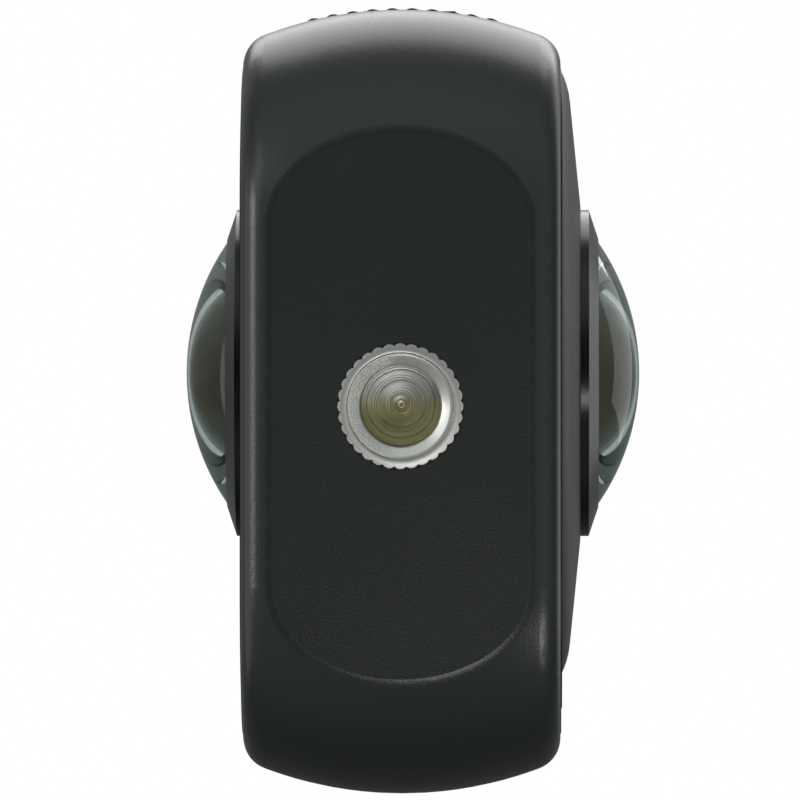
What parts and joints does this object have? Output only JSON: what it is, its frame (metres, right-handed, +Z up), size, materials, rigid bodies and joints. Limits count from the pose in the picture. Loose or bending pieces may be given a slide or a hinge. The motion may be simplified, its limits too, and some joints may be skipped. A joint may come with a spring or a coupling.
{
  "type": "360 degree camera",
  "caption": "Slim upright camera with opposed dome lenses on both faces, a side battery with ribbed cap, front display and buttons, side sockets and a tripod thread in its foot.",
  "frame": {"origin": "mouth of the tripod thread, at the middle of the flat that the camera stands on", "axes": "+Z up towards the lenses, +X towards the battery side, -Y towards the display and buttons"},
  "size_m": [0.0486, 0.0304, 0.115],
  "materials": {
    "casing_plastic": "fine matt grain, near black",
    "cover_plastic": "fine matt grain, near black",
    "grip_rubber": "soft matt rubber with a fine ribbed grain",
    "cap_plastic": "matt, with fine ribs along it",
    "latch_plastic": "satin dark grey",
    "button_plastic": "satin, slightly dished",
    "window_plastic": "smooth and glossy, smoked",
    "display_glass": "small display module",
    "light_plastic": "milky light guide",
    "insert_steel": "turned and knurled, bright",
    "screw_steel": "plain small screws",
    "bezel_aluminium": "black anodised with a satin turned face",
    "barrel_plastic": "matt black inside and out",
    "lens_glass": "coated optical glass, faintly green",
    "sensor_glass": "sensor die under its cover glass",
    "seal_rubber": "soft seal rubber",
    "chassis_metal": "die cast light alloy",
    "circuit_board": "coated circuit board",
    "chip_epoxy": "moulded chip bodies",
    "spreader_metal": "thin copper-coloured sheet",
    "contact_metal": "gold-plated contacts",
    "cell_wrap": "wrapped pouch cell",
    "socket_steel": "drawn sheet steel",
    "card_plastic": "plain memory card",
    "antenna_ceramic": "small ceramic bar on its board",
    "speaker_plastic": "small sealed speaker"
  },
  "bodies": {
    "casing": {"main_frame": "casing_plastic", "front_cover": "cover_plastic", "rear_cover": "cover_plastic", "front_grip": "grip_rubber", "rear_grip": "grip_rubber", "tripod_insert": "insert_steel", "port_bezel": "cover_plastic", "usb_socket": "socket_steel", "usb_tongue": "barrel_plastic", "port_board": "circuit_board", "card_socket": "socket_steel", "inner_chassis": "chassis_metal", "battery_contacts": "contact_metal", "main_board": "circuit_board", "processor_chip": "chip_epoxy", "memory_chips": "chip_epoxy", "heat_spreader": "spreader_metal", "button_board": "circuit_board", "shutter_switch": "chip_epoxy", "power_switch": "chip_epoxy", "display_window": "window_plastic", "display_panel": "display_glass", "status_light": "light_plastic", "microphones": "socket_steel", "speaker": "speaker_plastic", "wifi_antenna": "antenna_ceramic", "lens_carrier": "chassis_metal", "carrier_screws": "screw_steel", "board_screws": "screw_steel", "front_cover_screws": "screw_steel", "rear_cover_screws": "screw_steel", "front_lens_bezel": "bezel_aluminium", "front_lens_dome": "lens_glass", "front_lens_barrel": "barrel_plastic", "front_lens_middle_element": "lens_glass", "front_lens_rear_group": "lens_glass", "front_lens_seal": "seal_rubber", "front_image_sensor": "sensor_glass", "front_sensor_board": "circuit_board", "rear_lens_bezel": "bezel_aluminium", "rear_lens_dome": "lens_glass", "rear_lens_barrel": "barrel_plastic", "rear_lens_middle_element": "lens_glass", "rear_lens_rear_group": "lens_glass", "rear_lens_seal": "seal_rubber", "rear_image_sensor": "sensor_glass", "rear_sensor_board": "circuit_board"},
    "shutter": {"shutter_button": "button_plastic"},
    "power": {"power_button": "button_plastic"},
    "battery": {"battery_cell": "cell_wrap", "battery_cap": "cap_plastic", "battery_seal": "seal_rubber", "battery_pads": "contact_metal"},
    "latch": {"latch_slider": "latch_plastic"},
    "card": {"memory_card": "card_plastic"}
  },
  "joints": [
    {"name": "shutter_press", "type": "slide", "parent": "casing", "child": "shutter", "axis": [0, 1, 0], "range_m": [0, 0.0004], "stiffness_N_per_m": 400, "springref_m": -0.0005},
    {"name": "power_press", "type": "slide", "parent": "casing", "child": "power", "axis": [0, 1, 0], "range_m": [0, 0.0004], "stiffness_N_per_m": 400, "springref_m": -0.0005},
    {"name": "battery_slide", "type": "slide", "parent": "casing", "child": "battery", "axis": [1, 0, 0], "range_m": [0, 0.038]},
    {"name": "latch_slide", "type": "slide", "parent": "battery", "child": "latch", "axis": [0, 0, 1], "range_m": [0, 0.0015]},
    {"name": "card_slide", "type": "slide", "parent": "casing", "child": "card", "axis": [-1, 0, 0], "range_m": [0, 0.012]}
  ]
}
